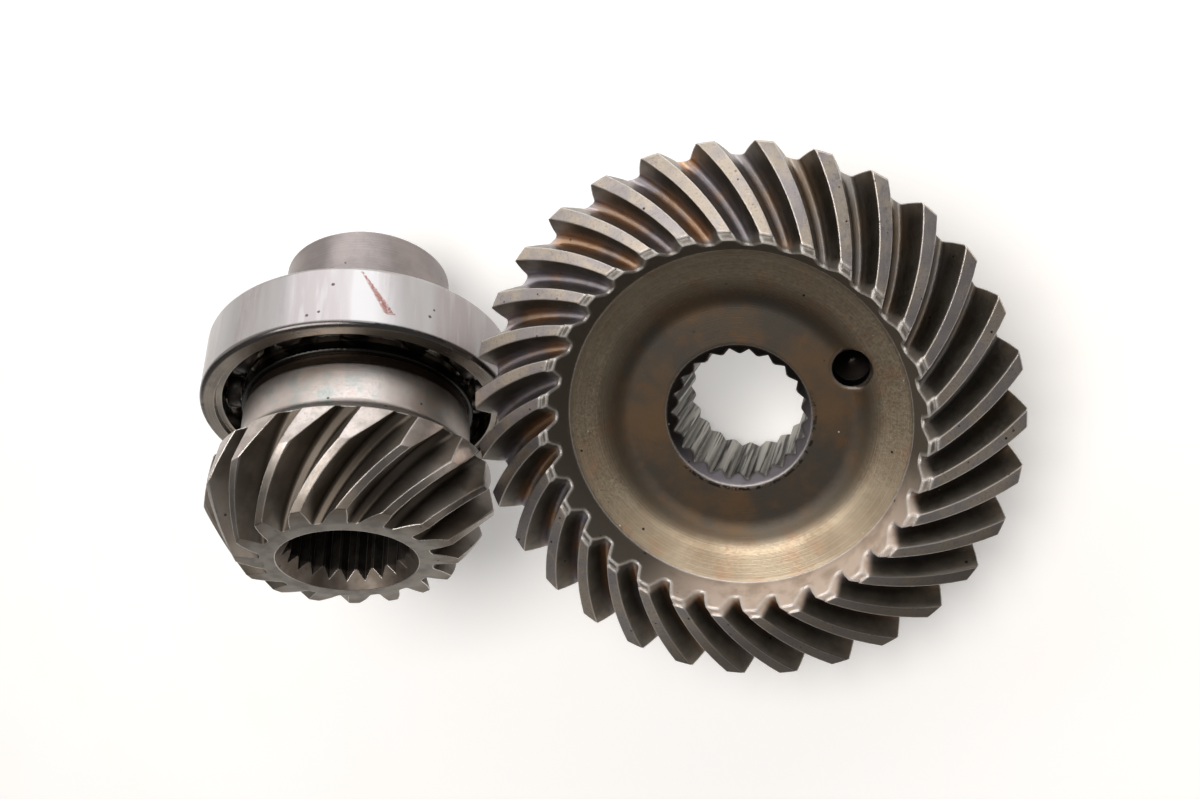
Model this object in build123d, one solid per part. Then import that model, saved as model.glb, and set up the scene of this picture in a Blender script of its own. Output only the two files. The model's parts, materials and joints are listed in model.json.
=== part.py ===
from build123d import *
from math import acos, asin, atan2, cos, degrees, hypot, pi, radians, sin, tan
import os

# A spiral bevel gear pair: the ring gear, and its pinion with the ball bearing that carries it.
# They lie side by side on a table, out of mesh. Millimetres, +Z up, the table is z = 0.
# The pinion's axis lies in a plane square to X and its toe points towards -Y.

# ---- the pair's tooth data ----------------------------------------------------------------
RING_TEETH = 31
PINION_TEETH = 16
OUTER_MODULE = 3.4           # transverse, at the heel
FACE_RATIO = 0.30            # face width over outer cone distance
MEAN_SPIRAL = radians(35)
NORMAL_PRESSURE = radians(20)
CUTTER_RADIUS = 57.15        # of the face mill that cuts the tooth spaces
WORKING_DEPTH = 1.700        # in outer modules
WHOLE_DEPTH = 1.888
RING_ADDENDUM = 0.46 + 0.39 * (PINION_TEETH / RING_TEETH) ** 2
RING_TOOTH_SHARE = 0.452     # share of the pitch that the ring gear's tooth takes
BACKLASH = 0.10
ROOT_FILLET = 1.15

# ---- serration in both bores ----------------------------------------------------------------
SERRATION_COUNT = 22
SERRATION_MAJOR = 13.6
SERRATION_MINOR = 12.3
SERRATION_LAND = 0.16        # flat left between two grooves, as a share of the pitch

# ---- ring gear, heights from the plane of its heel tips --------------------------------------
HEEL_BEVEL = 0.35            # on the heel end of each crest
LEDGE_LENGTH = 1.5           # lowered ledge that runs on past the toe end of each crest
LEDGE_DROP = 0.45
BOWL_FOOT = (33.4, -0.2)     # radius and height
ANNULUS_INNER = (26.6, -1.9)
DISH_RADIUS = 23.6
DISH_LEVEL = -4.3
DISH_ROUND = 5.0
ANNULUS_ROUND = 8.0
RING_MOUTH_RADIUS = 14.5
RING_MOUTH_DEPTH = 2.2
RIM_RADIUS = 49.8
RIM_BACK = -15.5
RIM_LAND_INNER = 43.0
WEB_BACK = -12.6
HUB_RADIUS = 18.8
HUB_END = -29.6
HUB_ROUND = 2.5
EDGE_BEVEL = 0.8
WEB_HOLE_RADIUS = 3.6
WEB_HOLE_BEVEL = 0.5
WEB_HOLE_DEPTH = 5.5
WEB_HOLE_PITCH_RADIUS = 23.9
WEB_HOLE_ANGLE = -6.7
DRILL_POINT = radians(59)

# ---- pinion, heights from the bearing's front face, towards the toe ---------------------------
PINION_APEX = 73.3
TOE_FACE = 35.5
PINION_MOUTH_RADIUS = 14.6
COUNTERSINK_DEPTH = 3.8
SERRATION_LENGTH = 26.0
PLAIN_BORE_RADIUS = 14.0
TOE_TIP = (22.6, 35.1)       # radius and height
CREST_BEND = (30.0, 23.8)
CREST_HEEL = (29.3, 16.0)
FLARE_TOP = (27.0, 14.6)
FLARE_FOOT = 12.3
FLARE_ROUND = 3.0
NECK_RADIUS = 24.0
NECK_LENGTH = 2.2
COLLAR_RADIUS = 24.6
COLLAR_ROUND = 0.6
SEAT_END = -15.5             # of the seat for the bearing, which has the bearing's bore radius
STUB_RADIUS = 19.0
STUB_END = -38.55
STUB_BEVEL = 1.1

# ---- deep-groove ball bearing, 40 x 68 x 15 ------------------------------------------------------
BEARING_BORE_RADIUS = 20.0
BEARING_RADIUS = 34.0
BEARING_WIDTH = 15.0
BEARING_CORNER = 1.0
INNER_SHOULDER = 25.3
OUTER_SHOULDER = 29.4
SEAL_STEP_RADIUS = 30.6
SEAL_STEP_DEPTH = 1.1
BALL_COUNT = 12
BALL_RADIUS = 3.969          # 5/16 inch balls
BALL_PITCH_RADIUS = 27.0
RACE_RADIUS = 1.04 * BALL_RADIUS
RACE_CLEARANCE = 0.05
CAGE_SHEET = 0.8
CAGE_INNER = 25.9
CAGE_OUTER = 28.7
POCKET_CLEARANCE = 0.15
RIVET_RADIUS = 0.55
RIVET_HEAD_RADIUS = 1.0
RIVET_HEAD_HEIGHT = 0.45
RIVET_CLEARANCE = 0.03

# ---- how they lie on the table --------------------------------------------------------------------
RING_LEAN = 13.5             # the ring gear leans on its hub's edge, degrees
RING_LEAN_TOWARDS = -61.6    # azimuth from +X of the side that is low
RING_FROM_PINION = (81.4, -28.8)
RING_TURN = 9.9
PINION_TURN = 13.8
CAGE_TURN = 21.5

# ---- worked out from the above ------------------------------------------------------------------------
RING_CONE = atan2(RING_TEETH, PINION_TEETH)
PINION_CONE = pi / 2 - RING_CONE
CONE_DISTANCE = OUTER_MODULE * hypot(RING_TEETH, PINION_TEETH) / 2
MEAN_DISTANCE = CONE_DISTANCE * (1 - FACE_RATIO / 2)
TOE_SCALE = 1 - FACE_RATIO
PRESSURE = atan2(tan(NORMAL_PRESSURE), cos(MEAN_SPIRAL))
OUTER_PITCH = pi * OUTER_MODULE
RING_TIP = RING_ADDENDUM * OUTER_MODULE
RING_ROOT = WHOLE_DEPTH * OUTER_MODULE - RING_TIP
PINION_TIP = WORKING_DEPTH * OUTER_MODULE - RING_TIP
PINION_ROOT = WHOLE_DEPTH * OUTER_MODULE - PINION_TIP
RING_HALF_GAP = OUTER_PITCH * (1 - RING_TOOTH_SHARE) / 2
PINION_HALF_GAP = (OUTER_PITCH * RING_TOOTH_SHARE + BACKLASH) / 2


def cone_point(cone, height, scale=1.0):
    """Radius and depth below the apex of a point `height` off the pitch cone, at `scale` of the heel."""
    radius = CONE_DISTANCE * sin(cone) + height * cos(cone)
    depth = CONE_DISTANCE * cos(cone) - height * sin(cone)
    return radius * scale, depth * scale


RING_APEX = cone_point(RING_CONE, RING_TIP)[1]


def spiral_angle(distance):
    """Spiral angle at a cone distance, for spaces cut by a circular face mill."""
    reach = 2 * MEAN_DISTANCE * CUTTER_RADIUS * sin(MEAN_SPIRAL)
    return asin((distance**2 - MEAN_DISTANCE**2 + reach) / (2 * distance * CUTTER_RADIUS))


def spiral_turn(cone, scale, steps=40):
    """Degrees that a tooth has turned about the gear's axis between the heel and `scale`."""
    step = CONE_DISTANCE * (1 - scale) / steps
    turn = 0.0
    for number in range(steps):
        distance = CONE_DISTANCE - (number + 0.5) * step
        turn += tan(spiral_angle(distance)) * step / (distance * sin(cone))
    return degrees(turn)


def half_gap(pitch_half_gap, height, virtual_radius):
    """Half the space between two involute flanks, `height` above the pitch line."""
    radius = virtual_radius + height
    pressure = acos(virtual_radius * cos(PRESSURE) / radius)
    opening = (tan(pressure) - pressure) - (tan(PRESSURE) - PRESSURE)
    return radius * (pitch_half_gap / virtual_radius + opening)


def gap_section(cone, scale, pitch_half_gap, root, top):
    """The space between two teeth, square to the pitch cone, at `scale` of the heel."""
    virtual_radius = CONE_DISTANCE * tan(cone)
    right = []
    for height in (-root, (top - root) / 2, top):
        right.append((scale * half_gap(pitch_half_gap, height, virtual_radius), scale * height))
    left = [(-width, height) for width, height in right]
    radius, depth = cone_point(cone, 0, scale)
    section = Plane(origin=(radius, 0, -depth), x_dir=(0, 1, 0), z_dir=(sin(cone), 0, -cos(cone)))
    flanks = [
        Line(left[0], right[0]),
        ThreePointArc(*right),
        Line(right[2], left[2]),
        ThreePointArc(*reversed(left)),
    ]
    face = Sketch() + make_face(flanks)
    floor_corners = face.vertices().sort_by(Axis.Y)[:2]
    return section * fillet(floor_corners, scale * ROOT_FILLET)


def cut_teeth(blank, teeth, apex, hand, cone, pitch_half_gap, root, top, scales):
    """Cut the tooth spaces out of a blank whose pitch apex is at height `apex`."""
    sections = []
    for scale in scales:
        turn = hand * spiral_turn(cone, scale)
        sections.append(Rotation(0, 0, turn) * gap_section(cone, scale, pitch_half_gap, root, top))
    space = Pos(0, 0, apex) * loft(sections)
    return blank - [Rotation(0, 0, 360 * number / teeth) * space for number in range(teeth)]


def turned(corners):
    """Solid of revolution about Z from corners (radius, height) or (radius, height, round)."""
    profile = Sketch() + make_face(Polyline(*[corner[:2] for corner in corners], close=True))
    for corner in corners:
        if len(corner) == 3:
            place = Vector(corner[0], corner[1])
            nearest = profile.vertices().sort_by(lambda vertex: (Vector(vertex) - place).length)[0]
            profile = fillet(nearest, corner[2])
    return revolve(Plane.XZ * profile, Axis.Z)


def serration(top, bottom):
    """Core and V grooves of a serrated bore between two heights."""
    pitch = 2 * pi / SERRATION_COUNT
    flank = (1 - SERRATION_LAND) / 2
    points = []
    for number in range(SERRATION_COUNT):
        for offset, radius in ((-flank, SERRATION_MINOR), (0, SERRATION_MAJOR), (flank, SERRATION_MINOR)):
            angle = (number + offset) * pitch
            points.append((radius * cos(angle), radius * sin(angle)))
    outline = make_face(Polyline(*points, close=True))
    return Pos(0, 0, bottom) * extrude(outline, top - bottom)


def ring_crest(drop, scale):
    """Radius and height of a point `drop` below the ring gear's face cone, at `scale` of the heel."""
    radius, depth = cone_point(RING_CONE, RING_TIP - drop / scale, scale)
    return radius, RING_APEX - depth


def make_ring_gear():
    """Ring gear: 31 spiral teeth round a turned bowl, a dished web and a serrated hub."""
    ledge_end = TOE_SCALE - LEDGE_LENGTH / CONE_DISTANCE
    heel = ring_crest(0, 1)
    bevel_top = ring_crest(0, 1 - HEEL_BEVEL / CONE_DISTANCE)
    bevel_foot = ring_crest(HEEL_BEVEL, 1)
    rim_corner = (RIM_RADIUS, heel[1] - (heel[0] - RIM_RADIUS) * tan(RING_CONE))
    blank = turned(
        [
            (0, HUB_END),
            (HUB_RADIUS - EDGE_BEVEL, HUB_END),
            (HUB_RADIUS, HUB_END + EDGE_BEVEL),
            (HUB_RADIUS, WEB_BACK, HUB_ROUND),
            (RIM_LAND_INNER - 1.5, WEB_BACK, 1.0),
            (RIM_LAND_INNER, RIM_BACK),
            (RIM_RADIUS - EDGE_BEVEL, RIM_BACK),
            (RIM_RADIUS, RIM_BACK + EDGE_BEVEL),
            rim_corner,
            bevel_foot,
            bevel_top,
            ring_crest(0, TOE_SCALE),
            ring_crest(LEDGE_DROP, TOE_SCALE),
            ring_crest(LEDGE_DROP, ledge_end),
            BOWL_FOOT,
            (*ANNULUS_INNER, ANNULUS_ROUND),
            (DISH_RADIUS, DISH_LEVEL, DISH_ROUND),
            (0, DISH_LEVEL),
        ]
    )
    gear = cut_teeth(
        blank,
        RING_TEETH,
        RING_APEX,
        -1,
        RING_CONE,
        RING_HALF_GAP,
        RING_ROOT,
        RING_TIP + 1.0,
        [1.06, 0.98, 0.90, 0.82, 0.74, 0.66, 0.58],
    )
    gear -= serration(DISH_LEVEL, HUB_END)
    gear -= turned(
        [
            (0, DISH_LEVEL - RING_MOUTH_DEPTH),
            (SERRATION_MINOR, DISH_LEVEL - RING_MOUTH_DEPTH),
            (RING_MOUTH_RADIUS, DISH_LEVEL),
            (0, DISH_LEVEL),
        ]
    )
    gear -= turned([(0, HUB_END), (SERRATION_MAJOR, HUB_END), (0, HUB_END + SERRATION_MAJOR)])
    return gear - web_hole()


def web_hole():
    """Blind drilled hole with a small bevel, in the web of the ring gear."""
    top = ANNULUS_INNER[1] + 1.0
    bottom = DISH_LEVEL - WEB_HOLE_DEPTH
    drill = turned(
        [
            (0, bottom - WEB_HOLE_RADIUS / tan(DRILL_POINT)),
            (WEB_HOLE_RADIUS, bottom),
            (WEB_HOLE_RADIUS, DISH_LEVEL),
            (WEB_HOLE_RADIUS + WEB_HOLE_BEVEL, DISH_LEVEL + WEB_HOLE_BEVEL),
            (WEB_HOLE_RADIUS + WEB_HOLE_BEVEL, top),
            (0, top),
        ]
    )
    angle = radians(WEB_HOLE_ANGLE)
    return Pos(WEB_HOLE_PITCH_RADIUS * cos(angle), WEB_HOLE_PITCH_RADIUS * sin(angle), 0) * drill


def make_pinion_gear():
    """Pinion: 16 spiral teeth, a flared collar, the bearing seat and a hollow stub."""
    root_radius, _ = cone_point(PINION_CONE, -PINION_ROOT, TOE_SCALE)
    blank = turned(
        [
            (0, STUB_END),
            (STUB_RADIUS - STUB_BEVEL, STUB_END),
            (STUB_RADIUS, STUB_END + STUB_BEVEL),
            (STUB_RADIUS, SEAT_END),
            (BEARING_BORE_RADIUS, SEAT_END),
            (BEARING_BORE_RADIUS, 0),
            (NECK_RADIUS, 0),
            (NECK_RADIUS, NECK_LENGTH),
            (COLLAR_RADIUS, NECK_LENGTH, COLLAR_ROUND),
            (COLLAR_RADIUS, FLARE_FOOT, FLARE_ROUND),
            FLARE_TOP,
            CREST_HEEL,
            CREST_BEND,
            (*TOE_TIP, 0.3),
            (root_radius - 0.3, TOE_FACE),
            (0, TOE_FACE),
        ]
    )
    pinion = cut_teeth(
        blank,
        PINION_TEETH,
        PINION_APEX,
        1,
        PINION_CONE,
        PINION_HALF_GAP,
        PINION_ROOT,
        PINION_TIP + 1.2,
        [1.24, 1.13, 1.02, 0.91, 0.80, 0.69, 0.60],
    )
    serration_end = TOE_FACE - SERRATION_LENGTH
    pinion -= serration(TOE_FACE, serration_end)
    pinion -= turned(
        [
            (0, TOE_FACE - COUNTERSINK_DEPTH),
            (SERRATION_MINOR, TOE_FACE - COUNTERSINK_DEPTH),
            (PINION_MOUTH_RADIUS, TOE_FACE),
            (0, TOE_FACE),
        ]
    )
    return pinion - Pos(0, 0, STUB_END) * Cylinder(
        PLAIN_BORE_RADIUS, serration_end - STUB_END, align=(Align.CENTER, Align.CENTER, Align.MIN)
    )


def race(side):
    """Ring that cuts a ball groove: side is 1 for the outer race and -1 for the inner."""
    bottom = BALL_PITCH_RADIUS + side * (BALL_RADIUS + RACE_CLEARANCE)
    return Pos(0, 0, -BEARING_WIDTH / 2) * Torus(bottom - side * RACE_RADIUS, RACE_RADIUS)


def make_outer_ring():
    """Outer ring, with a step for a seal at each side of the race."""
    corners = [
        (BEARING_RADIUS, 0, BEARING_CORNER),
        (BEARING_RADIUS, -BEARING_WIDTH, BEARING_CORNER),
        (SEAL_STEP_RADIUS + 0.3, -BEARING_WIDTH),
        (SEAL_STEP_RADIUS, SEAL_STEP_DEPTH - BEARING_WIDTH),
        (OUTER_SHOULDER, SEAL_STEP_DEPTH - BEARING_WIDTH),
        (OUTER_SHOULDER, -SEAL_STEP_DEPTH),
        (SEAL_STEP_RADIUS, -SEAL_STEP_DEPTH),
        (SEAL_STEP_RADIUS + 0.3, 0),
    ]
    return turned(corners) - race(1)


def make_inner_ring():
    """Inner ring, pressed on the pinion's seat."""
    corners = [
        (BEARING_BORE_RADIUS, 0),
        (INNER_SHOULDER, 0, 0.5),
        (INNER_SHOULDER, -BEARING_WIDTH, 0.5),
        (BEARING_BORE_RADIUS, -BEARING_WIDTH),
    ]
    return turned(corners) - race(-1)


def around(count, radius, offset=0.0):
    """Locations evenly spaced on a circle in the bearing's middle plane."""
    places = []
    for number in range(count):
        angle = 2 * pi * (number + offset) / count
        places.append(Pos(radius * cos(angle), radius * sin(angle), -BEARING_WIDTH / 2))
    return places


def make_cage_half(side):
    """One pressed sheet half of the cage; side is 1 towards the pinion head, -1 towards the stub."""
    pocket = BALL_RADIUS + POCKET_CLEARANCE
    reach = pocket + CAGE_SHEET
    middle = -BEARING_WIDTH / 2
    band = turned(
        [
            (CAGE_INNER, middle),
            (CAGE_OUTER, middle),
            (CAGE_OUTER, middle + side * reach),
            (CAGE_INNER, middle + side * reach),
        ]
    )
    flat = turned(
        [
            (CAGE_INNER, middle),
            (CAGE_OUTER, middle),
            (CAGE_OUTER, middle + side * CAGE_SHEET),
            (CAGE_INNER, middle + side * CAGE_SHEET),
        ]
    )
    places = around(BALL_COUNT, BALL_PITCH_RADIUS)
    domes = Part() + [place * Sphere(reach) for place in places]
    half = flat + (band & domes) - [place * Sphere(pocket) for place in places]
    hole = Cylinder(RIVET_RADIUS + RIVET_CLEARANCE, 4 * CAGE_SHEET)
    return half - [place * hole for place in around(BALL_COUNT, BALL_PITCH_RADIUS, 0.5)]


def make_rivet():
    """A rivet that holds the cage halves together, with a head at each end."""
    top = CAGE_SHEET + RIVET_HEAD_HEIGHT
    return turned(
        [
            (0, -top),
            (RIVET_HEAD_RADIUS * 0.8, -top),
            (RIVET_HEAD_RADIUS, -CAGE_SHEET),
            (RIVET_RADIUS, -CAGE_SHEET),
            (RIVET_RADIUS, CAGE_SHEET),
            (RIVET_HEAD_RADIUS, CAGE_SHEET),
            (RIVET_HEAD_RADIUS * 0.8, top),
            (0, top),
        ]
    )


def low_point(corners, lean):
    """Lowest height that corners (radius, height) reach on a turned body leaned from upright."""
    return min(height * cos(lean) - radius * sin(lean) for radius, height in corners)


def pinion_location():
    """The pinion rests on the stub's edge and on the rounded corner of the bearing."""
    run = (BEARING_CORNER - BEARING_WIDTH) - (STUB_END + STUB_BEVEL)
    rise = BEARING_RADIUS - BEARING_CORNER - STUB_RADIUS
    elevation = atan2(rise, run) + asin(BEARING_CORNER / hypot(rise, run))
    lean = pi / 2 - elevation
    lift = -low_point([(STUB_RADIUS, STUB_END + STUB_BEVEL)], lean)
    return Pos(0, 0, lift) * Rotation(degrees(lean), 0, 0)


def ring_location():
    """The ring gear stands on the edge of its hub."""
    hub_edge = [(HUB_RADIUS - EDGE_BEVEL, HUB_END), (HUB_RADIUS, HUB_END + EDGE_BEVEL)]
    lift = -low_point(hub_edge, radians(RING_LEAN))
    lean = Rotation(0, 0, RING_LEAN_TOWARDS) * Rotation(0, RING_LEAN, 0)
    return Pos(*RING_FROM_PINION, lift) * lean * Rotation(0, 0, RING_TURN - RING_LEAN_TOWARDS)


def make_parts():
    """Every node's solid, by name, with the pinion's bearing above the origin."""
    pinion = pinion_location()
    cage = pinion * Rotation(0, 0, CAGE_TURN)
    parts = {
        "ring_gear": ring_location() * make_ring_gear(),
        "pinion_gear": pinion * Rotation(0, 0, PINION_TURN) * make_pinion_gear(),
        "bearing_inner_ring": pinion * make_inner_ring(),
        "bearing_outer_ring": pinion * make_outer_ring(),
        "bearing_cage_front": cage * make_cage_half(1),
        "bearing_cage_back": cage * make_cage_half(-1),
    }
    for number, place in enumerate(around(BALL_COUNT, BALL_PITCH_RADIUS), start=1):
        parts[f"bearing_ball_{number:02d}"] = cage * place * Sphere(BALL_RADIUS)
    for number, place in enumerate(around(BALL_COUNT, BALL_PITCH_RADIUS, 0.5), start=1):
        parts[f"bearing_rivet_{number:02d}"] = cage * place * make_rivet()
    return parts


def centring(parts):
    """The move that puts the middle of the whole set's box on the Z axis."""
    box = Compound(list(parts.values())).bounding_box()
    return Pos(-box.center().X, -box.center().Y, 0)


os.makedirs("parts", exist_ok=True)
made = make_parts()
move = centring(made)
for name, shape in made.items():
    export_step(move * shape, f"parts/{name}.step")
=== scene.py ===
"""Used spiral bevel gear pair, with the ball bearing on its pinion, on a white table under soft light."""

import json
import math
from types import SimpleNamespace

import bpy
from mathutils import Euler, Matrix, Vector

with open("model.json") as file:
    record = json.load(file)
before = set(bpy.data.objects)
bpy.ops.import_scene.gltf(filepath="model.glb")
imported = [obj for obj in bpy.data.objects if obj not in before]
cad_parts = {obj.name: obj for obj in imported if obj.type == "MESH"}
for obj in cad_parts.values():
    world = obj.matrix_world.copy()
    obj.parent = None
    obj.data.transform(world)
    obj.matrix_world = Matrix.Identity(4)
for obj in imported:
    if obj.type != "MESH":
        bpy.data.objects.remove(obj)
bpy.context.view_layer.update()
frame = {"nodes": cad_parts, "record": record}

MM = 0.001
EDGE_SAMPLES = 6                 # for worn edges and for grime in corners

# ---- the two axes, from the record's mounts -----------------------------------------------------
MOUNTS = {mount["name"]: mount for mount in frame["record"]["mounts"]}
BEARING_HALF_WIDTH = 7.5 * MM
HUB_MOUNT_DEPTH = 22.0 * MM      # of the hub journal's middle behind the plane of the heel tips

# ---- tooth data, to tell lands, flanks and roots apart in the materials -------------------------
RING_TEETH = 31
PINION_TEETH = 16
RING_CONE = math.atan2(RING_TEETH, PINION_TEETH)
PINION_CONE = math.pi / 2 - RING_CONE
CONE_DISTANCE = 59.306 * MM
RING_APEX = 25.38 * MM           # above the plane of the heel tips
PINION_APEX = 73.3 * MM          # above the bearing's front face
RING_TIP = 1.917 * MM
RING_ROOT = 4.502 * MM
PINION_TIP = 3.863 * MM
PINION_ROOT = 2.556 * MM
TOE_SCALE = 0.70                 # cone distance of the ring gear's toe, as a share of the heel's

# ---- places on the ring gear, in its own frame --------------------------------------------------
GROOVE_TOP = 12.6 * MM           # radii between which the bore's grooves get darker
GROOVE_BOTTOM = 13.4 * MM
RING_MOUTH = 14.5 * MM           # radius of the bore's mouth
RING_MOUTH_FOOT = -6.4 * MM      # height at which the mouth ends in the grooves
DISH_LEVEL = -4.3 * MM
DISH_EDGE = 23.0 * MM            # radii between which the dark dish turns into the olive annulus
ANNULUS_EDGE = 28.5 * MM
RING_TEETH_START = 33.3 * MM     # radius at which the web ends
WEB_HOLE_CIRCLE = 23.9 * MM      # radius of the circle that the web hole lies on
WEB_HOLE_RADIUS = 3.6 * MM

# ---- places on the pinion, in its own frame -----------------------------------------------------
STUB_START = -15.0 * MM          # height at which the bearing ends and the stub shows
NECK_START = -1.0 * MM           # heights between which the shaft in front of the bearing is brown
NECK_END = 3.2 * MM
PINION_TEETH_START = 14.2 * MM   # height at which the collar ends
PINION_MOUTH = 14.6 * MM         # radius of the bore's mouth
PINION_MOUTH_FOOT = 31.2 * MM    # height at which the mouth ends in the grooves
TOE_FACE = 35.5 * MM
CREST_RADIUS = 29.3 * MM         # of the crests at the heel, where they are turned down
CREST_HEIGHT = 16.0 * MM
CREST_RISE = 0.09                # radius gained for each step towards the toe

# ---- places on the bearing, in the pinion's frame -----------------------------------------------
BEARING_RADIUS = 34.0 * MM
CORNER_RADIUS = 33.2 * MM        # in the rounding between the outer ring's face and its outside
INNER_RING_EDGE = 25.6 * MM
INNER_RING_FRONT = -2.6 * MM     # height above which the inner ring is coloured near black
RUB_START = (48.7, -13.7 * MM)   # of the mark on the outer ring: degrees round it, and height
RUB_END = (38.2, -3.5 * MM)
RUB_WIDTH = 0.15 * MM            # half of the mark's width at its start
RUB_WIDENING = 0.09              # half width gained for each step along the axis
RING_SPOTS = (                   # degrees round the outer ring, height and size
    (58.0, -10.2 * MM, 0.45 * MM),
    (62.0, -3.4 * MM, 0.35 * MM),
    (66.0, -2.8 * MM, 0.40 * MM),
    (24.0, -5.5 * MM, 0.40 * MM),
    (22.5, -7.5 * MM, 0.30 * MM),
)

# ---- colours; a pair is mottled from the first to the second ------------------------------------
RING_LOOK = SimpleNamespace(
    annulus=((0.31, 0.255, 0.18), (0.235, 0.185, 0.125)),
    annulus_rust=(0.30, 0.18, 0.11),
    turned_lines=(0.44, 0.38, 0.31),
    dish=((0.075, 0.066, 0.055), (0.13, 0.085, 0.05)),
    dish_rust=(0.15, 0.08, 0.04),
    blots=(0.02, 0.016, 0.014),
    flank=((0.15, 0.135, 0.115), (0.24, 0.215, 0.18)),
    tint=((0.70, 0.46, 0.30), (0.48, 0.45, 0.49)),
    oily_tint=(0.30, 0.24, 0.18),
    grey_tint=(0.36, 0.33, 0.285),
    rim=((0.26, 0.235, 0.21), (0.19, 0.155, 0.125)),
    toe_wall=((0.86, 0.70, 0.58), (0.60, 0.47, 0.37)),
    # painted shade on the toe walls on one side of the gear
    shaded_toe_wall=(0.12, 0.105, 0.085),
    land=((0.56, 0.49, 0.41), (0.44, 0.405, 0.40)),
    land_grain=(0.22, 0.18, 0.14),
    land_specks=(0.07, 0.055, 0.045),
    # painted shade on the lands on one side of the gear
    shaded_land=(0.13, 0.11, 0.09),
    mouth=((0.20, 0.185, 0.20), (0.27, 0.25, 0.27)),
    # painted shade on the mouth of the bore, on one side
    shaded_mouth=(0.03, 0.026, 0.024),
    grooves=((0.05, 0.046, 0.04), (0.46, 0.45, 0.41)),
    groove_bottoms=(0.07, 0.062, 0.052),
    # painted shade inside the web hole
    web_hole=(0.014, 0.011, 0.01),
    # grime and painted shade in corners
    grime_and_shade=(0.022, 0.018, 0.014),
    pits=(0.035, 0.024, 0.018),
    glints=(0.75, 0.72, 0.68),
    worn=(0.92, 0.87, 0.82),
)
PINION_LOOK = SimpleNamespace(
    land=((0.50, 0.45, 0.42), (0.38, 0.34, 0.31)),
    land_grain=(0.24, 0.20, 0.17),
    toe_land=(0.20, 0.18, 0.155),
    gap=((0.16, 0.135, 0.11), (0.25, 0.22, 0.19)),
    root=(0.085, 0.07, 0.055),
    collar=((0.54, 0.485, 0.455), (0.45, 0.395, 0.36)),
    collar_green=(0.38, 0.42, 0.40),
    collar_pink=(0.56, 0.44, 0.41),
    neck=(0.13, 0.095, 0.07),
    stub=((0.27, 0.235, 0.225), (0.20, 0.18, 0.175)),
    stub_lines=(0.33, 0.30, 0.285),
    toe=((0.27, 0.25, 0.22), (0.19, 0.175, 0.15)),
    mouth=((0.13, 0.105, 0.085), (0.20, 0.17, 0.145)),
    bore=((0.05, 0.043, 0.038), (0.10, 0.088, 0.075)),
    # grime and painted shade in corners
    grime_and_shade=(0.03, 0.024, 0.018),
    specks=(0.06, 0.04, 0.03),
    worn=(0.86, 0.82, 0.77),
)
BEARING_LOOK = SimpleNamespace(
    face=((0.25, 0.22, 0.185), (0.18, 0.16, 0.14)),
    face_lines=(0.34, 0.31, 0.27),
    outside=((0.42, 0.41, 0.41), (0.34, 0.31, 0.31)),
    outside_smears=(0.50, 0.49, 0.49),
    spots=(0.07, 0.045, 0.04),
    corner=(0.08, 0.072, 0.068),
    inner_front=(0.03, 0.028, 0.026),
    rust=(0.20, 0.085, 0.07),
    # grime and painted shade in corners
    grime_and_shade=(0.02, 0.018, 0.016),
    worn=(0.66, 0.63, 0.60),
    balls=((0.62, 0.61, 0.60), (0.40, 0.36, 0.31)),
    cage=((0.035, 0.033, 0.032), (0.07, 0.062, 0.055)),
    cage_edges=(0.30, 0.28, 0.26),
    rivets=((0.16, 0.15, 0.14), (0.30, 0.28, 0.26)),
)

# ---- floor, light and camera --------------------------------------------------------------------
FLOOR_SIZE = 30.0
FLOOR_COLOURS = ((0.88, 0.875, 0.865), (0.88, 0.86, 0.83))
FLOOR_GLOW = 0.27                # emission strengths
ROOM_GLOW = 0.16
CAMERA_FROM_BEARING = Vector((0.151390, -0.028928, 0.204751))
CAMERA_TURN = (-5.447, 24.345, -21.081)
FOCAL_LENGTH = 33.68


def mount_point(name):
    return Vector(MOUNTS[name]["pos_m"])


def mount_axis(name):
    return Vector(MOUNTS[name]["axis"]).normalized()


def axes_from(origin, axis, towards):
    """Origin and the three unit vectors of a gear's own frame, with Z on its axis."""
    sideways = towards - axis * towards.dot(axis)
    x_axis = sideways.normalized()
    return origin, x_axis, axis.cross(x_axis), axis


pinion_axis = mount_axis("pinion_toe_face")
bearing_front = mount_point("bearing_outside") + pinion_axis * BEARING_HALF_WIDTH
pinion_frame = axes_from(bearing_front, pinion_axis, Vector((1, 0, 0)))
ring_axis = -mount_axis("ring_hub_journal")
ring_origin = mount_point("ring_hub_journal") + ring_axis * HUB_MOUNT_DEPTH
ring_frame = axes_from(ring_origin, ring_axis, mount_point("ring_web_hole") - ring_origin)


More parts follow.
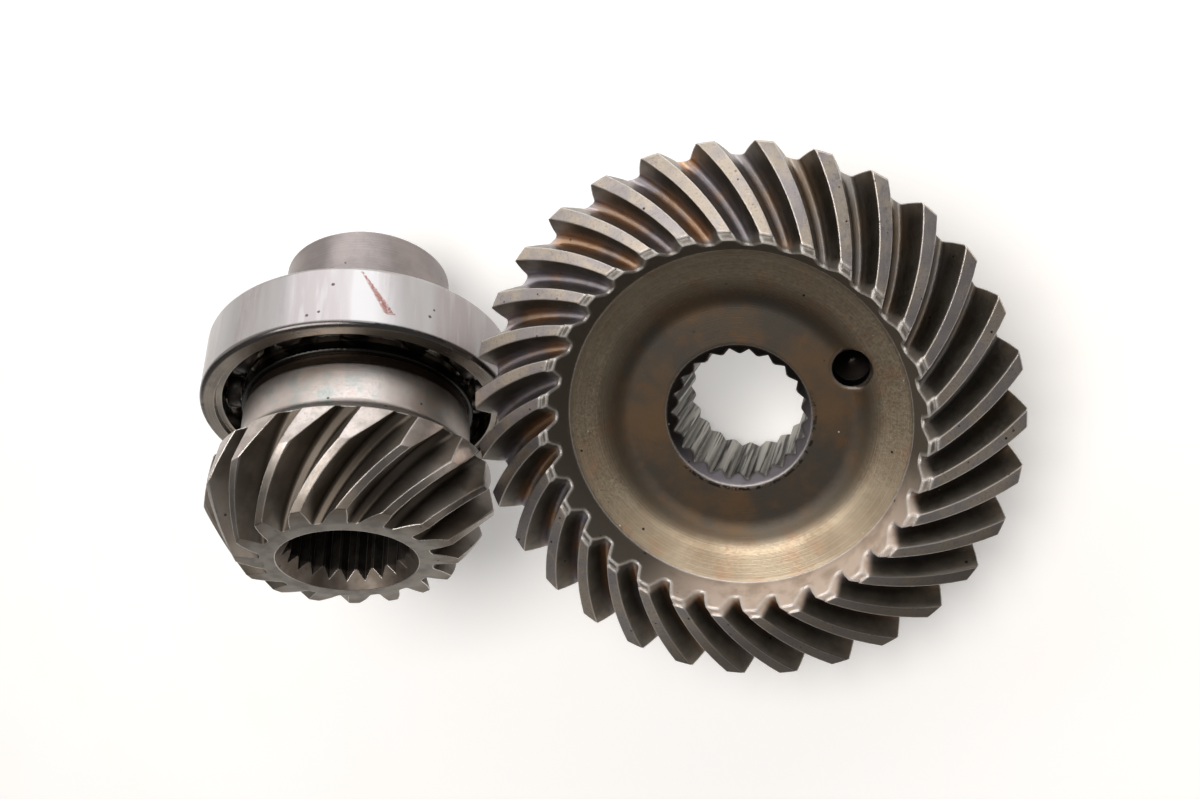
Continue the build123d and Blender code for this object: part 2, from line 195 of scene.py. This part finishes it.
class Shader:
    """Short calls that add nodes to one material and join them up."""

    def __init__(self, name):
        self.material = bpy.data.materials.new(name)
        self.material.use_nodes = True
        self.tree = self.material.node_tree
        self.surface = self.tree.nodes["Principled BSDF"]

    def node(self, kind, **settings):
        made = self.tree.nodes.new(kind)
        for key, value in settings.items():
            setattr(made, key, value)
        return made

    def feed(self, socket, value):
        """Join another node's output to a socket, or set its own value."""
        if isinstance(value, bpy.types.NodeSocket):
            self.tree.links.new(value, socket)
        elif isinstance(value, tuple) and len(value) == 3 and socket.type == "RGBA":
            socket.default_value = (*value, 1.0)
        else:
            socket.default_value = value

    def math(self, operation, *values):
        made = self.node("ShaderNodeMath", operation=operation)
        for socket, value in zip(made.inputs, values):
            self.feed(socket, value)
        return made.outputs[0]

    def times(self, first, second):
        return self.math("MULTIPLY", first, second)

    def vector(self, operation, *values):
        made = self.node("ShaderNodeVectorMath", operation=operation)
        for socket, value in zip(made.inputs, values):
            self.feed(socket, value)
        return made.outputs["Value"] if operation in ("DOT_PRODUCT", "LENGTH") else made.outputs["Vector"]

    def split(self, place):
        """The three coordinates of a vector."""
        made = self.node("ShaderNodeSeparateXYZ")
        self.feed(made.inputs[0], place)
        return made.outputs

    def ramp(self, value, low, high, start, end):
        """Smooth step from `start` to `end` while a value goes from `low` to `high`."""
        made = self.node("ShaderNodeMapRange", interpolation_type="SMOOTHSTEP")
        settings = {"Value": value, "From Min": low, "From Max": high, "To Min": start, "To Max": end}
        for name, given in settings.items():
            self.feed(made.inputs[name], given)
        return made.outputs["Result"]

    def rise(self, value, low, high, most=1.0):
        """Zero up to `low`, and `most` from `high` on."""
        return self.ramp(value, low, high, 0.0, most)

    def fall(self, value, low, high, most=1.0):
        """The value `most` up to `low`, and zero from `high` on."""
        return self.ramp(value, low, high, most, 0.0)

    def band(self, value, low, high, soft):
        """One between `low` and `high`, falling to zero over `soft` on each side."""
        rise = self.rise(value, low - soft, low + soft)
        fall = self.fall(value, high - soft, high + soft)
        return self.times(rise, fall)

    def mix(self, factor, first, second):
        """Colour that goes from `first` to `second` as the factor rises."""
        made = self.node("ShaderNodeMix", data_type="RGBA")
        self.feed(made.inputs[0], factor)
        self.feed(made.inputs[6], first)
        self.feed(made.inputs[7], second)
        return made.outputs[2]

    def mottle(self, value, low, high, pair):
        """Colour that goes through a pair of colours as a value goes from `low` to `high`."""
        return self.mix(self.rise(value, low, high), *pair)

    def cover(self, colour, value, low, high, most, over):
        """A colour with another `over` it, as far as `most`, where a value is high."""
        return self.mix(self.rise(value, low, high, most), colour, over)

    def blend(self, factor, first, second):
        """Number that goes from `first` to `second` as the factor rises."""
        made = self.node("ShaderNodeMix", data_type="FLOAT")
        self.feed(made.inputs[0], factor)
        self.feed(made.inputs[2], first)
        self.feed(made.inputs[3], second)
        return made.outputs[0]

    def noise(self, place, size, detail=3.0, roughness=0.55):
        """Noise from 0 to 1 whose blobs are about `size` metres."""
        made = self.node("ShaderNodeTexNoise")
        self.feed(made.inputs["Vector"], place)
        made.inputs["Scale"].default_value = 1.0 / size
        made.inputs["Detail"].default_value = detail
        made.inputs["Roughness"].default_value = roughness
        return made.outputs[0]

    def lines(self, along, size, detail):
        """Noise in one dimension: fine marks across the direction that `along` is measured in."""
        made = self.node("ShaderNodeTexNoise", noise_dimensions="1D")
        self.feed(made.inputs["W"], along)
        made.inputs["Scale"].default_value = 1.0 / size
        made.inputs["Detail"].default_value = detail
        return made.outputs[0]

    def specks(self, place, spacing, size):
        """Ones on some of the spots scattered at `spacing`. Their size is a share of the spacing."""
        made = self.node("ShaderNodeTexVoronoi", feature="F1")
        self.feed(made.inputs["Vector"], place)
        made.inputs["Scale"].default_value = 1.0 / spacing
        spot = self.fall(made.outputs["Distance"], size * 0.6, size)
        chosen = self.rise(made.outputs["Color"], 0.55, 0.6)
        return self.times(spot, chosen)

    def edges(self, radius):
        """Ones on sharp edges, from a rounded normal beside the true one, and the rounded normal."""
        bevel = self.node("ShaderNodeBevel", samples=EDGE_SAMPLES)
        self.feed(bevel.inputs["Radius"], radius)
        geometry = self.node("ShaderNodeNewGeometry")
        bend = self.vector("DOT_PRODUCT", bevel.outputs["Normal"], geometry.outputs["Normal"])
        return self.fall(bend, 0.85, 0.985), bevel.outputs["Normal"]

    def outer_edges(self, radius):
        """The same, without the edges that lie in a corner."""
        edge, rounded = self.edges(radius)
        return self.times(edge, self.rise(self.openness(1.2 * MM), 0.35, 0.8)), rounded

    def openness(self, distance):
        """One on open faces, falling to zero down in corners and gaps."""
        made = self.node("ShaderNodeAmbientOcclusion", samples=EDGE_SAMPLES)
        made.inputs["Distance"].default_value = distance
        return made.outputs["AO"]

    def bump(self, height, distance, strength, below=None):
        """Normal of a surface that rises by `distance` where the height is one, on top of `below`."""
        made = self.node("ShaderNodeBump")
        made.inputs["Strength"].default_value = strength
        made.inputs["Distance"].default_value = distance
        self.feed(made.inputs["Height"], height)
        if below is not None:
            self.feed(made.inputs["Normal"], below)
        return made.outputs["Normal"]

    def own_place(self, own_frame):
        """Position in a gear's own frame: the vector, its radius and its height on the axis."""
        origin, *axes = own_frame
        row_place = self.node("ShaderNodeTexCoord").outputs["Object"]
        offset = self.vector("SUBTRACT", row_place, tuple(origin))
        x, y, z = [self.vector("DOT_PRODUCT", offset, tuple(axis)) for axis in axes]
        joined = self.node("ShaderNodeCombineXYZ")
        for socket, coordinate in zip(joined.inputs, (x, y, z)):
            self.feed(socket, coordinate)
        squares = self.math("ADD", self.times(x, x), self.times(y, y))
        return joined.outputs[0], self.math("SQRT", squares), z

    def tooth_height(self, radius, height, cone, apex):
        """Height off the pitch cone, as it would be at the heel, and the share of the cone distance."""
        depth = self.math("SUBTRACT", apex, height)
        across = self.times(radius, math.cos(cone))
        off = self.math("SUBTRACT", across, self.times(depth, math.sin(cone)))
        along = self.times(radius, math.sin(cone))
        distance = self.math("ADD", along, self.times(depth, math.cos(cone)))
        scale = self.math("DIVIDE", distance, CONE_DISTANCE)
        return self.math("DIVIDE", off, scale), scale

    def steel(self, colour, roughness, normal, metallic=1.0):
        """Finish the material as metal. Dust and dry rust make it less metallic."""
        self.feed(self.surface.inputs["Base Color"], colour)
        self.feed(self.surface.inputs["Roughness"], roughness)
        self.feed(self.surface.inputs["Normal"], normal)
        self.feed(self.surface.inputs["Metallic"], metallic)
        return self.material


def ring_values(s):
    """What the ring gear's look depends on at each point: the place on the gear, and noises.

    `towards_hole` and `across` are the distances from the axis towards the web hole and square to that.
    """
    at = SimpleNamespace()
    at.place, at.radius, at.height = s.own_place(ring_frame)
    at.tooth, at.scale = s.tooth_height(at.radius, at.height, RING_CONE, RING_APEX)
    at.towards_hole, at.across, _ = s.split(at.place)
    at.cloud = s.noise(at.place, 14 * MM, 4.0)
    at.patch = s.noise(at.place, 5 * MM, 4.0)
    at.grain = s.noise(at.place, 0.5 * MM, 5.0, 0.7)
    at.turning = s.lines(at.radius, 0.22 * MM, 3.0)
    at.toe = s.fall(at.scale, TOE_SCALE - 0.01, TOE_SCALE + 0.015)
    at.teeth = s.rise(at.radius, RING_TEETH_START, RING_TEETH_START + 0.12 * MM)
    return at


def ring_web(s, at):
    """A rusty olive annulus round a darker dish, with black blots round part of the bore."""
    annulus = s.mottle(at.cloud, 0.35, 0.65, RING_LOOK.annulus)
    annulus = s.cover(annulus, at.patch, 0.50, 0.70, 0.5, RING_LOOK.annulus_rust)
    annulus = s.cover(annulus, at.turning, 0.5, 0.75, 0.35, RING_LOOK.turned_lines)
    dish = s.mottle(at.cloud, 0.35, 0.65, RING_LOOK.dish)
    dish = s.cover(dish, at.patch, 0.55, 0.75, 0.5, RING_LOOK.dish_rust)
    web = s.mix(s.rise(at.radius, DISH_EDGE, ANNULUS_EDGE), dish, annulus)
    round_bore = s.band(at.radius, RING_MOUTH, RING_MOUTH + 0.9 * MM, 0.2 * MM)
    blots = s.times(round_bore, s.rise(s.noise(at.place, 1.2 * MM), 0.45, 0.55))
    blots = s.times(blots, s.fall(at.across, -8 * MM, 2 * MM))
    return s.mix(blots, web, RING_LOOK.blots)


def ring_flanks(s, at):
    """Dark flanks, orange and bluish tooth spaces, the plain rim below them and the toe walls, which get
    painted shade on one side of the gear.
    """
    flank = s.mottle(at.patch, 0.3, 0.7, RING_LOOK.flank)
    tint = s.mottle(at.cloud, 0.42, 0.58, RING_LOOK.tint)
    tint = s.cover(tint, at.patch, 0.5, 0.7, 0.6, RING_LOOK.oily_tint)
    tint = s.cover(tint, at.towards_hole, 10 * MM, 35 * MM, 0.75, RING_LOOK.grey_tint)
    root = s.fall(at.tooth, -RING_ROOT + 0.7 * MM, -RING_ROOT + 2.9 * MM)
    teeth = s.mix(root, flank, tint)
    rim = s.mottle(at.cloud, 0.4, 0.65, RING_LOOK.rim)
    below_teeth = s.fall(at.tooth, -RING_ROOT - 0.6 * MM, -RING_ROOT - 0.2 * MM)
    teeth = s.mix(below_teeth, teeth, rim)
    toe_wall = s.mottle(at.patch, 0.45, 0.7, RING_LOOK.toe_wall)
    # painted shade: the toe walls turn dark on one side of the gear
    toe_wall = s.cover(toe_wall, at.across, -33 * MM, -17 * MM, 1.0, RING_LOOK.shaded_toe_wall)
    return s.mix(at.toe, teeth, toe_wall)


def ring_land(s, at):
    """Beige and bluish lands, grained and speckled, with painted shade on one side of the gear."""
    land = s.mottle(at.patch, 0.4, 0.6, RING_LOOK.land)
    land = s.cover(land, at.grain, 0.5, 0.7, 0.6, RING_LOOK.land_grain)
    land = s.mix(s.specks(at.place, 2.2 * MM, 0.15), land, RING_LOOK.land_specks)
    # painted shade: the lands on one side of the gear are darkened
    shaded_side = s.fall(at.across, -44 * MM, -26 * MM, 0.85)
    return s.mix(shaded_side, land, RING_LOOK.shaded_land)


def ring_bore(s, at, colour):
    """The colour with the bore added: a violet-grey mouth with painted shade on one side, and oily grey
    grooves.
    """
    mouth = s.mottle(at.patch, 0.3, 0.7, RING_LOOK.mouth)
    # painted shade: the mouth turns near black on one side of the gear
    mouth = s.cover(mouth, at.across, -8 * MM, 2 * MM, 1.0, RING_LOOK.shaded_mouth)
    in_bore = s.fall(at.radius, RING_MOUTH - 0.10 * MM, RING_MOUTH + 0.05 * MM)
    in_grooves = s.times(in_bore, s.fall(at.height, RING_MOUTH_FOOT, RING_MOUTH_FOOT + 0.3 * MM))
    streaks = s.noise(s.vector("MULTIPLY", at.place, (1.0, 1.0, 0.03)), 0.8 * MM, 2.5)
    grooves = s.mottle(streaks, 0.42, 0.53, RING_LOOK.grooves)
    bottoms = s.times(s.rise(at.radius, GROOVE_TOP, GROOVE_BOTTOM), 0.75)
    grooves = s.mix(bottoms, grooves, RING_LOOK.groove_bottoms)
    colour = s.mix(in_bore, colour, mouth)
    return s.mix(in_grooves, colour, grooves)


def web_hole(s, at):
    """Ones in the hole in the web, below the dish."""
    from_hole = s.vector("SUBTRACT", at.place, (WEB_HOLE_CIRCLE, 0, 0))
    distance = s.vector("LENGTH", s.vector("MULTIPLY", from_hole, (1, 1, 0)))
    inside = s.fall(distance, WEB_HOLE_RADIUS, WEB_HOLE_RADIUS + 0.1 * MM)
    return s.times(inside, s.fall(at.height, DISH_LEVEL - 0.1 * MM, DISH_LEVEL + 0.1 * MM))


def ring_dirt(s, at, colour):
    """The colour with grime and painted shade in the corners of the teeth, dark pits and a few bright
    points.
    """
    # grime and painted shade: darker down in corners and gaps, from ambient occlusion
    corners = s.fall(s.openness(5 * MM), 0.15, 0.65, 0.85)
    grime_and_shade = s.times(corners, s.rise(at.scale, TOE_SCALE - 0.01, TOE_SCALE + 0.03))
    colour = s.mix(s.times(grime_and_shade, at.teeth), colour, RING_LOOK.grime_and_shade)
    pits = s.times(s.specks(at.place, 4.2 * MM, 0.085), s.rise(at.cloud, 0.35, 0.5))
    colour = s.mix(pits, colour, RING_LOOK.pits)
    other_place = s.vector("ADD", at.place, (0.31, 0.17, 0.05))
    glints = s.times(s.specks(other_place, 5.0 * MM, 0.04), 0.8)
    return s.mix(glints, colour, RING_LOOK.glints)


def ring_roughness(s, at, worn):
    roughness = s.blend(s.rise(at.grain, 0.3, 0.7), 0.28, 0.44)
    roughness = s.blend(s.rise(at.cloud, 0.45, 0.7, 0.4), roughness, 0.55)
    dull_dish = s.fall(at.radius, DISH_EDGE + 1 * MM, ANNULUS_EDGE - 0.5 * MM, 0.7)
    roughness = s.blend(dull_dish, roughness, 0.60)
    return s.blend(worn, roughness, 0.25)


def ring_gear_steel():
    """Oiled gear steel: heat-tinted tooth spaces, pale lands, and a dark turned web."""
    s = Shader("ring_gear_steel")
    at = ring_values(s)
    on_land = s.rise(at.tooth, RING_TIP - 0.25 * MM, RING_TIP - 0.12 * MM)
    teeth = s.mix(on_land, ring_flanks(s, at), ring_land(s, at))
    colour = s.mix(at.teeth, ring_web(s, at), teeth)
    colour = ring_bore(s, at, colour)
    # painted shade: the inside of the web hole is coloured near black
    colour = s.mix(web_hole(s, at), colour, RING_LOOK.web_hole)
    colour = ring_dirt(s, at, colour)

    # edges bright with wear, most of all at the toes and least on the web
    edge, rounded = s.outer_edges(s.blend(at.toe, 0.30 * MM, 1.20 * MM))
    wear = s.ramp(at.grain, 0.30, 0.55, s.blend(at.toe, 0.1, 0.6), s.blend(at.toe, 0.75, 1.0))
    worn = s.times(s.times(edge, wear), s.blend(at.teeth, 0.5, 1.0))
    colour = s.mix(worn, colour, RING_LOOK.worn)

    normal = s.bump(s.blend(at.teeth, at.turning, at.grain), 0.016 * MM, 0.9, rounded)
    normal = s.bump(s.noise(at.place, 1.8 * MM), 0.04 * MM, 0.6, normal)
    dry = s.times(at.toe, at.teeth)
    return s.steel(colour, ring_roughness(s, at, worn), normal, s.blend(dry, 1.0, 0.35))


def pinion_values(s):
    """What the pinion's look depends on at each point: the place on the gear, and noises."""
    at = SimpleNamespace()
    at.place, at.radius, at.height = s.own_place(pinion_frame)
    at.tooth, _ = s.tooth_height(at.radius, at.height, PINION_CONE, PINION_APEX)
    at.cloud = s.noise(at.place, 11 * MM, 4.0)
    at.patch = s.noise(at.place, 3.5 * MM, 4.0)
    at.grain = s.noise(at.place, 0.45 * MM, 5.0, 0.7)
    at.turning = s.lines(at.height, 0.3 * MM, 3.0)
    at.teeth = s.rise(at.height, PINION_TEETH_START, PINION_TEETH_START + 0.6 * MM)
    at.shaft = s.fall(at.height, PINION_TEETH_START, PINION_TEETH_START + 0.6 * MM)
    at.land = pinion_land_zone(s, at)
    return at


def pinion_land_zone(s, at):
    """Ones on the lands, both on the tip cone and where the crests are turned down at the heel."""
    on_cone = s.rise(at.tooth, PINION_TIP - 0.40 * MM, PINION_TIP - 0.15 * MM)
    rise = s.times(s.math("SUBTRACT", at.height, CREST_HEIGHT), CREST_RISE)
    over_crest = s.math("SUBTRACT", at.radius, s.math("ADD", CREST_RADIUS, rise))
    return s.math("MAXIMUM", on_cone, s.rise(over_crest, -0.30 * MM, -0.10 * MM))


def pinion_teeth(s, at):
    """Olive tooth spaces, darker at the roots, and pinkish lands that darken towards the toe."""
    land = s.mottle(at.patch, 0.4, 0.6, PINION_LOOK.land)
    land = s.cover(land, at.grain, 0.5, 0.75, 0.5, PINION_LOOK.land_grain)
    land = s.cover(land, at.height, 22.0 * MM, 31.0 * MM, 0.85, PINION_LOOK.toe_land)
    gap = s.mottle(at.cloud, 0.4, 0.6, PINION_LOOK.gap)
    root = s.fall(at.tooth, -PINION_ROOT + 0.3 * MM, -PINION_ROOT + 2.0 * MM, 0.75)
    gap = s.mix(root, gap, PINION_LOOK.root)
    return s.mix(at.land, gap, land)


def pinion_shaft(s, at, colour):
    """The colour with the smooth collar, the brown neck behind it and the turned stub added."""
    collar = s.mottle(at.cloud, 0.4, 0.65, PINION_LOOK.collar)
    collar = s.cover(collar, at.patch, 0.48, 0.66, 0.7, PINION_LOOK.collar_green)
    collar = s.mix(s.fall(at.patch, 0.25, 0.42, 0.6), collar, PINION_LOOK.collar_pink)
    colour = s.mix(at.shaft, colour, collar)
    neck = s.fall(at.height, NECK_END - 1.2 * MM, NECK_END)
    neck = s.times(neck, s.rise(at.height, NECK_START, NECK_START + 1.0 * MM))
    colour = s.mix(neck, colour, PINION_LOOK.neck)
    stub = s.mottle(at.cloud, 0.35, 0.65, PINION_LOOK.stub)
    stub = s.cover(stub, at.turning, 0.45, 0.7, 0.3, PINION_LOOK.stub_lines)
    return s.mix(s.fall(at.height, STUB_START - 0.2 * MM, STUB_START), colour, stub)


def pinion_front(s, at, colour):
    """The colour with the toe face and the dark bore added."""
    on_toe = s.rise(at.height, TOE_FACE - 0.3 * MM, TOE_FACE - 0.1 * MM)
    colour = s.mix(on_toe, colour, s.mottle(at.patch, 0.4, 0.65, PINION_LOOK.toe))
    mouth = s.mottle(at.patch, 0.35, 0.7, PINION_LOOK.mouth)
    bore = s.mottle(at.patch, 0.35, 0.7, PINION_LOOK.bore)
    bore = s.mix(s.rise(at.height, PINION_MOUTH_FOOT, PINION_MOUTH_FOOT + 0.7 * MM), bore, mouth)
    in_bore = s.fall(at.radius, PINION_MOUTH - 0.05 * MM, PINION_MOUTH + 0.10 * MM)
    return s.mix(in_bore, colour, bore)


def pinion_steel():
    """Paler gear steel, with a smooth collar, olive tooth spaces and a dark bore."""
    s = Shader("pinion_steel")
    at = pinion_values(s)
    colour = pinion_shaft(s, at, pinion_teeth(s, at))
    colour = pinion_front(s, at, colour)

    # grime and painted shade down in the corners, specks, and bright worn edges
    # grime and painted shade: darker down in corners and gaps, from ambient occlusion
    colour = s.mix(s.fall(s.openness(5 * MM), 0.15, 0.55, 0.65), colour, PINION_LOOK.grime_and_shade)
    specks = s.times(s.specks(at.place, 3.6 * MM, 0.10), 0.85)
    colour = s.mix(specks, colour, PINION_LOOK.specks)
    edge, rounded = s.outer_edges(0.35 * MM)
    worn = s.times(edge, s.ramp(at.grain, 0.25, 0.5, 0.4, 1.0))
    colour = s.mix(worn, colour, PINION_LOOK.worn)

    in_gap = s.times(s.fall(at.land, 0.0, 1.0), at.teeth)
    roughness = s.blend(s.rise(at.grain, 0.3, 0.7), 0.28, 0.43)
    roughness = s.blend(in_gap, roughness, 0.50)
    roughness = s.blend(worn, roughness, 0.25)
    normal = s.bump(s.blend(at.shaft, at.grain, at.turning), 0.012 * MM, 0.8, rounded)
    normal = s.bump(s.noise(at.place, 1.6 * MM), 0.025 * MM, 0.5, normal)
    return s.steel(colour, roughness, normal)


def rub_mark(s, at):
    """Ones on the slanting rub mark across the outer ring, which widens towards the front."""
    start_angle, start_height = RUB_START
    end_angle, end_height = RUB_END
    start_around = math.radians(start_angle) * BEARING_RADIUS
    slant = math.radians(start_angle - end_angle) * BEARING_RADIUS / (end_height - start_height)
    x, y, _ = s.split(at.place)
    around = s.times(s.math("ARCTAN2", y, x), BEARING_RADIUS)
    run = s.math("SUBTRACT", at.height, start_height)
    middle = s.math("SUBTRACT", start_around, s.times(run, slant))
    ragged = s.times(s.math("SUBTRACT", at.grain, 0.5), 2.4 * MM)
    away = s.math("ABSOLUTE", s.math("ADD", s.math("SUBTRACT", around, middle), ragged))
    width = s.math("ADD", s.times(run, RUB_WIDENING), RUB_WIDTH)
    inside = s.fall(s.math("SUBTRACT", away, width), -0.15 * MM, 0.15 * MM)
    return s.times(inside, s.band(at.height, start_height, end_height, 0.2 * MM))


def outer_ring_spots(s, at, colour):
    """The colour with the few dark spots of the outer ring added."""
    for angle, spot_height, spot_radius in RING_SPOTS:
        turn = math.radians(angle)
        middle = (BEARING_RADIUS * math.cos(turn), BEARING_RADIUS * math.sin(turn), spot_height)
        away = s.vector("LENGTH", s.vector("SUBTRACT", at.place, middle))
        ragged = s.math("ADD", away, s.times(s.math("SUBTRACT", at.grain, 0.5), spot_radius))
        spot = s.fall(ragged, 0.7 * spot_radius, spot_radius, 0.9)
        colour = s.mix(spot, colour, BEARING_LOOK.spots)
    return colour


def bearing_values(s):
    """What the bearing rings' look depends on at each point: the place on them, and noises."""
    at = SimpleNamespace()
    at.place, at.radius, at.height = s.own_place(pinion_frame)
    drawn_out = s.vector("MULTIPLY", at.place, (1.0, 1.0, 0.12))
    at.cloud = s.noise(drawn_out, 10 * MM)
    at.patch = s.noise(drawn_out, 2.5 * MM)
    at.grain = s.noise(at.place, 0.4 * MM, 5.0, 0.7)
    at.facing = s.lines(at.radius, 0.3 * MM, 2.0)
    at.outside = s.rise(at.radius, CORNER_RADIUS, CORNER_RADIUS + 0.4 * MM)
    return at


def bearing_clean(s, at):
    """The rings without dirt: turned faces and a paler ground outside."""
    face = s.mottle(at.cloud, 0.4, 0.65, BEARING_LOOK.face)
    face = s.cover(face, at.facing, 0.5, 0.7, 0.4, BEARING_LOOK.face_lines)
    outside = s.mottle(at.cloud, 0.4, 0.6, BEARING_LOOK.outside)
    outside = s.cover(outside, at.patch, 0.55, 0.7, 0.35, BEARING_LOOK.outside_smears)
    return s.mix(at.outside, face, outside)


def bearing_dirt(s, at, colour):
    """The colour with spots, a dark front corner, a near-black front on the inner ring, rust, and grime
    and painted shade in corners added.
    """
    colour = outer_ring_spots(s, at, colour)
    corner = s.band(at.height, -1.2 * MM, -0.02 * MM, 0.25 * MM)
    corner = s.times(corner, s.rise(at.radius, CORNER_RADIUS - 0.3 * MM, CORNER_RADIUS))
    colour = s.mix(s.times(corner, 0.8), colour, BEARING_LOOK.corner)
    inner_ring = s.fall(at.radius, INNER_RING_EDGE, INNER_RING_EDGE + 0.4 * MM)
    in_front = s.rise(at.height, INNER_RING_FRONT, INNER_RING_FRONT + 0.4 * MM)
    colour = s.mix(s.times(inner_ring, in_front), colour, BEARING_LOOK.inner_front)
    rust = s.times(s.specks(at.place, 2.6 * MM, 0.12), s.rise(at.cloud, 0.5, 0.65))
    rust = s.math("MAXIMUM", rust, rub_mark(s, at))
    rust = s.times(rust, s.ramp(at.grain, 0.40, 0.52, 0.2, 1.0))
    colour = s.mix(rust, colour, BEARING_LOOK.rust)
    # grime and painted shade: darker down in corners, from ambient occlusion
    return s.mix(s.fall(s.openness(3 * MM), 0.1, 0.6, 0.6), colour, BEARING_LOOK.grime_and_shade)


def bearing_steel():
    """Ground and polished rings, with oil film, a rub mark and specks of rust."""
    s = Shader("bearing_steel")
    at = bearing_values(s)
    colour = bearing_dirt(s, at, bearing_clean(s, at))
    edge, rounded = s.edges(0.2 * MM)
    colour = s.mix(s.times(edge, 0.4), colour, BEARING_LOOK.worn)
    roughness = s.blend(s.rise(at.cloud, 0.3, 0.7), 0.22, 0.30)
    normal = s.bump(s.blend(at.outside, at.facing, at.patch), 0.006 * MM, 0.5, rounded)
    return s.steel(colour, roughness, normal)


def ball_steel():
    """Polished balls, smeared with oil."""
    s = Shader("ball_steel")
    place, _, _ = s.own_place(pinion_frame)
    smear = s.noise(place, 2.5 * MM, 4.0)
    fine = s.noise(place, 0.3 * MM)
    colour = s.mottle(smear, 0.4, 0.65, BEARING_LOOK.balls)
    roughness = s.blend(s.rise(smear, 0.4, 0.7), 0.08, 0.22)
    return s.steel(colour, roughness, s.bump(fine, 0.003 * MM, 0.4))


def cage_sheet():
    """Pressed sheet steel, dark with oil."""
    s = Shader("cage_sheet")
    place, _, _ = s.own_place(pinion_frame)
    patch = s.noise(place, 4 * MM, 4.0)
    grain = s.noise(place, 0.3 * MM, 4.0, 0.65)
    colour = s.mottle(patch, 0.35, 0.7, BEARING_LOOK.cage)
    edge, rounded = s.edges(0.15 * MM)
    colour = s.mix(s.times(edge, 0.3), colour, BEARING_LOOK.cage_edges)
    roughness = s.blend(s.rise(grain, 0.3, 0.7), 0.30, 0.42)
    return s.steel(colour, roughness, s.bump(grain, 0.004 * MM, 0.6, rounded))


def cage_rivets():
    """Rivet heads, a little brighter than the sheet."""
    s = Shader("cage_rivets")
    place, _, _ = s.own_place(pinion_frame)
    grain = s.noise(place, 0.3 * MM, 4.0)
    colour = s.mottle(grain, 0.35, 0.7, BEARING_LOOK.rivets)
    return s.steel(colour, s.blend(grain, 0.28, 0.42), s.bump(grain, 0.01 * MM, 0.7))


def white_table():
    """The pale floor, which glows a little so that shadows on it stay faint."""
    s = Shader("white_table")
    place = s.node("ShaderNodeTexCoord").outputs["Object"]
    warmth = s.noise(place, 60 * MM, 2.0)
    s.feed(s.surface.inputs["Base Color"], s.mottle(warmth, 0.4, 0.7, FLOOR_COLOURS))
    s.surface.inputs["Roughness"].default_value = 0.7
    s.surface.inputs["Emission Color"].default_value = (1.0, 0.985, 0.965, 1.0)
    s.surface.inputs["Emission Strength"].default_value = FLOOR_GLOW
    return s.material


def dress_nodes():
    """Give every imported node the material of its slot."""
    makers = (ring_gear_steel, pinion_steel, bearing_steel, ball_steel, cage_sheet, cage_rivets)
    made = {make.__name__: make() for make in makers}
    for part in frame["record"]["subparts"]:
        for material_slot in frame["nodes"][part["node"]].material_slots:
            material_slot.material = made[part["material_slot"]]


def make_floor():
    bpy.ops.mesh.primitive_plane_add(size=FLOOR_SIZE, location=(0, 0, 0))
    floor = bpy.context.object
    floor.name = "table_top"
    floor.data.materials.append(white_table())


def soft_light(name, direction, distance, size, brightness, colour):
    """A soft box that looks at the middle of the set from a direction. Brightness is its radiance."""
    data = bpy.data.lights.new(name, "AREA")
    data.shape = "RECTANGLE"
    data.size, data.size_y = size
    data.energy = brightness * math.pi * data.size * data.size_y
    data.color = colour
    light = bpy.data.objects.new(name, data)
    towards = Vector(direction).normalized()
    light.location = towards * distance
    light.rotation_euler = towards.to_track_quat("Z", "Y").to_euler()
    bpy.context.scene.collection.objects.link(light)


def make_lights():
    soft_light("overhead", (0.03, 0.20, 0.97), 0.75, (0.55, 0.48), 5.0, (1.0, 0.965, 0.94))
    soft_light("window", (0.35, 0.89, 0.28), 2.40, (3.45, 1.45), 2.2, (0.99, 0.99, 1.0))
    soft_light("left_side", (-0.66, 0.66, 0.36), 2.55, (2.40, 1.80), 1.0, (1.0, 0.96, 0.93))
    world = bpy.data.worlds.new("soft_room")
    world.use_nodes = True
    background = world.node_tree.nodes["Background"]
    background.inputs["Color"].default_value = (1.0, 0.98, 0.96, 1.0)
    background.inputs["Strength"].default_value = ROOM_GLOW
    bpy.context.scene.world = world


def make_camera():
    data = bpy.data.cameras.new("camera")
    data.lens = FOCAL_LENGTH
    data.clip_start = 0.01
    camera = bpy.data.objects.new("camera", data)
    turn = Euler([math.radians(angle) for angle in CAMERA_TURN]).to_matrix().to_4x4()
    camera.matrix_world = Matrix.Translation(bearing_front + CAMERA_FROM_BEARING) @ turn
    bpy.context.scene.collection.objects.link(camera)
    bpy.context.scene.camera = camera


dress_nodes()
make_floor()
make_lights()
make_camera()
bpy.context.scene.view_settings.view_transform = "Standard"
